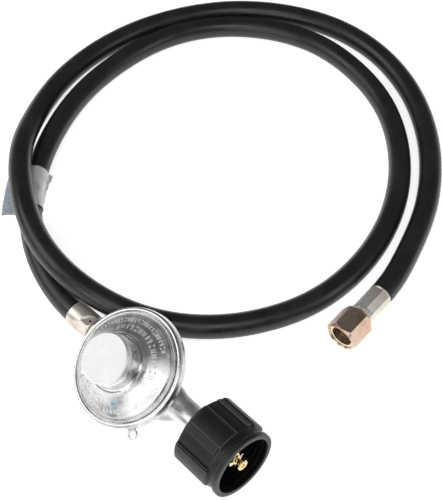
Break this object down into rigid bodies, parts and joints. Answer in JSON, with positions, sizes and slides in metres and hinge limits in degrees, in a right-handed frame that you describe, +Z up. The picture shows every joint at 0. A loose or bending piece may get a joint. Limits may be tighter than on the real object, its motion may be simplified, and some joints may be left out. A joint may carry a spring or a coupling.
{
  "type": "propane regulator hose",
  "caption": "Low-pressure propane regulator with a black coupling nut for the tank and a coiled rubber hose that ends in a hexagonal flare swivel nut.",
  "frame": {"origin": "on the surface that the part lies on, under the centre of the regulator with its tank nut and first ferrule, measured without the hose and what is on its far end", "axes": "+X points along the table from the hose's first ferrule to the tank nut, +Z up; the regulator's bonnet leans towards -Y"},
  "size_m": [0.3211, 0.3465, 0.0603],
  "materials": {
    "cast_zinc": "bare die-cast zinc, softly mottled, with bright machined and rubbed edges",
    "cap_zinc": "bead-blasted light metal",
    "black_nylon": "moulded black nylon with a fine satin grain",
    "bushing_plastic": "moulded dark grey plastic",
    "brass": "turned brass, polished",
    "plated_steel": "zinc-plated steel with a faint warm passivation tint",
    "spring_steel": "drawn spring steel",
    "stamped_steel": "stamped zinc-plated steel",
    "nitrile": "matt black moulded nitrile rubber",
    "hose_rubber": "satin black extruded rubber",
    "label_film": "translucent white printed film"
  },
  "bodies": {
    "root": {"bonnet": "cast_zinc", "bonnet_cap": "cap_zinc", "diaphragm": "nitrile", "ferrule_flare_end": "plated_steel", "ferrule_regulator_end": "plated_steel", "flare_stem": "plated_steel", "flow_limiter_cage": "brass", "flow_limiter_spring": "spring_steel", "hose": "hose_rubber", "hose_label": "label_film", "hose_stem_regulator_end": "brass", "inlet_nipple": "brass", "inlet_nozzle": "brass", "lever_pin": "spring_steel", "main_spring": "spring_steel", "nipple_o_ring": "nitrile", "regulator_body": "cast_zinc", "vent_screen": "stamped_steel"},
    "adjuster": {"adjusting_screw": "bushing_plastic"},
    "diaphragm_centre": {"diaphragm_plate": "stamped_steel", "diaphragm_washer": "stamped_steel", "diaphragm_post": "brass"},
    "lever_arm": {"lever": "stamped_steel"},
    "valve": {"valve_slide": "brass", "valve_seat": "nitrile"},
    "tank_nut": {"qcc_nut": "black_nylon", "thermal_bushing": "bushing_plastic"},
    "limiter_poppet": {"flow_limiter_poppet": "brass"},
    "swivel_nut": {"flare_nut": "plated_steel"}
  },
  "joints": [
    {"name": "tank_nut_turn", "type": "hinge", "parent": "root", "child": "tank_nut", "pos_m": [0.05529, 0.0079, 0.0229], "axis": [0.9942, 0, 0.108], "continuous": true},
    {"name": "swivel_nut_turn", "type": "hinge", "parent": "root", "child": "swivel_nut", "pos_m": [0.04758, 0.1105, 0.0096], "axis": [0.0958, -0.9954, 0], "continuous": true},
    {"name": "diaphragm_lift", "type": "slide", "parent": "root", "child": "diaphragm_centre", "axis": [-0.0952, -0.4726, 0.8761], "range_m": [0, 0.0016], "stiffness_N_per_m": 800, "deforming": ["diaphragm", "main_spring"]},
    {"name": "lever_turn", "type": "hinge", "parent": "root", "child": "lever_arm", "pos_m": [-0.01866, 0.00601, 0.01841], "axis": [0.051, -0.8813, -0.4698], "range_deg": [0, 13.2]},
    {"name": "valve_slide_travel", "type": "slide", "parent": "root", "child": "valve", "axis": [0.9942, 0, 0.108], "range_m": [0, 0.00092]},
    {"name": "adjusting_screw_travel", "type": "slide", "parent": "root", "child": "adjuster", "axis": [-0.0952, -0.4726, 0.8761], "range_m": [-0.0015, 0.0006], "deforming": ["main_spring"]},
    {"name": "flow_limiter_travel", "type": "slide", "parent": "root", "child": "limiter_poppet", "axis": [-0.9942, 0, -0.108], "range_m": [0, 0.0012], "stiffness_N_per_m": 60, "deforming": ["flow_limiter_spring"]}
  ],
  "couplings": [
    {"joint": "lever_turn", "follows": "diaphragm_lift", "rad_per_m": 142.86},
    {"joint": "valve_slide_travel", "follows": "diaphragm_lift", "ratio": 0.5714}
  ]
}
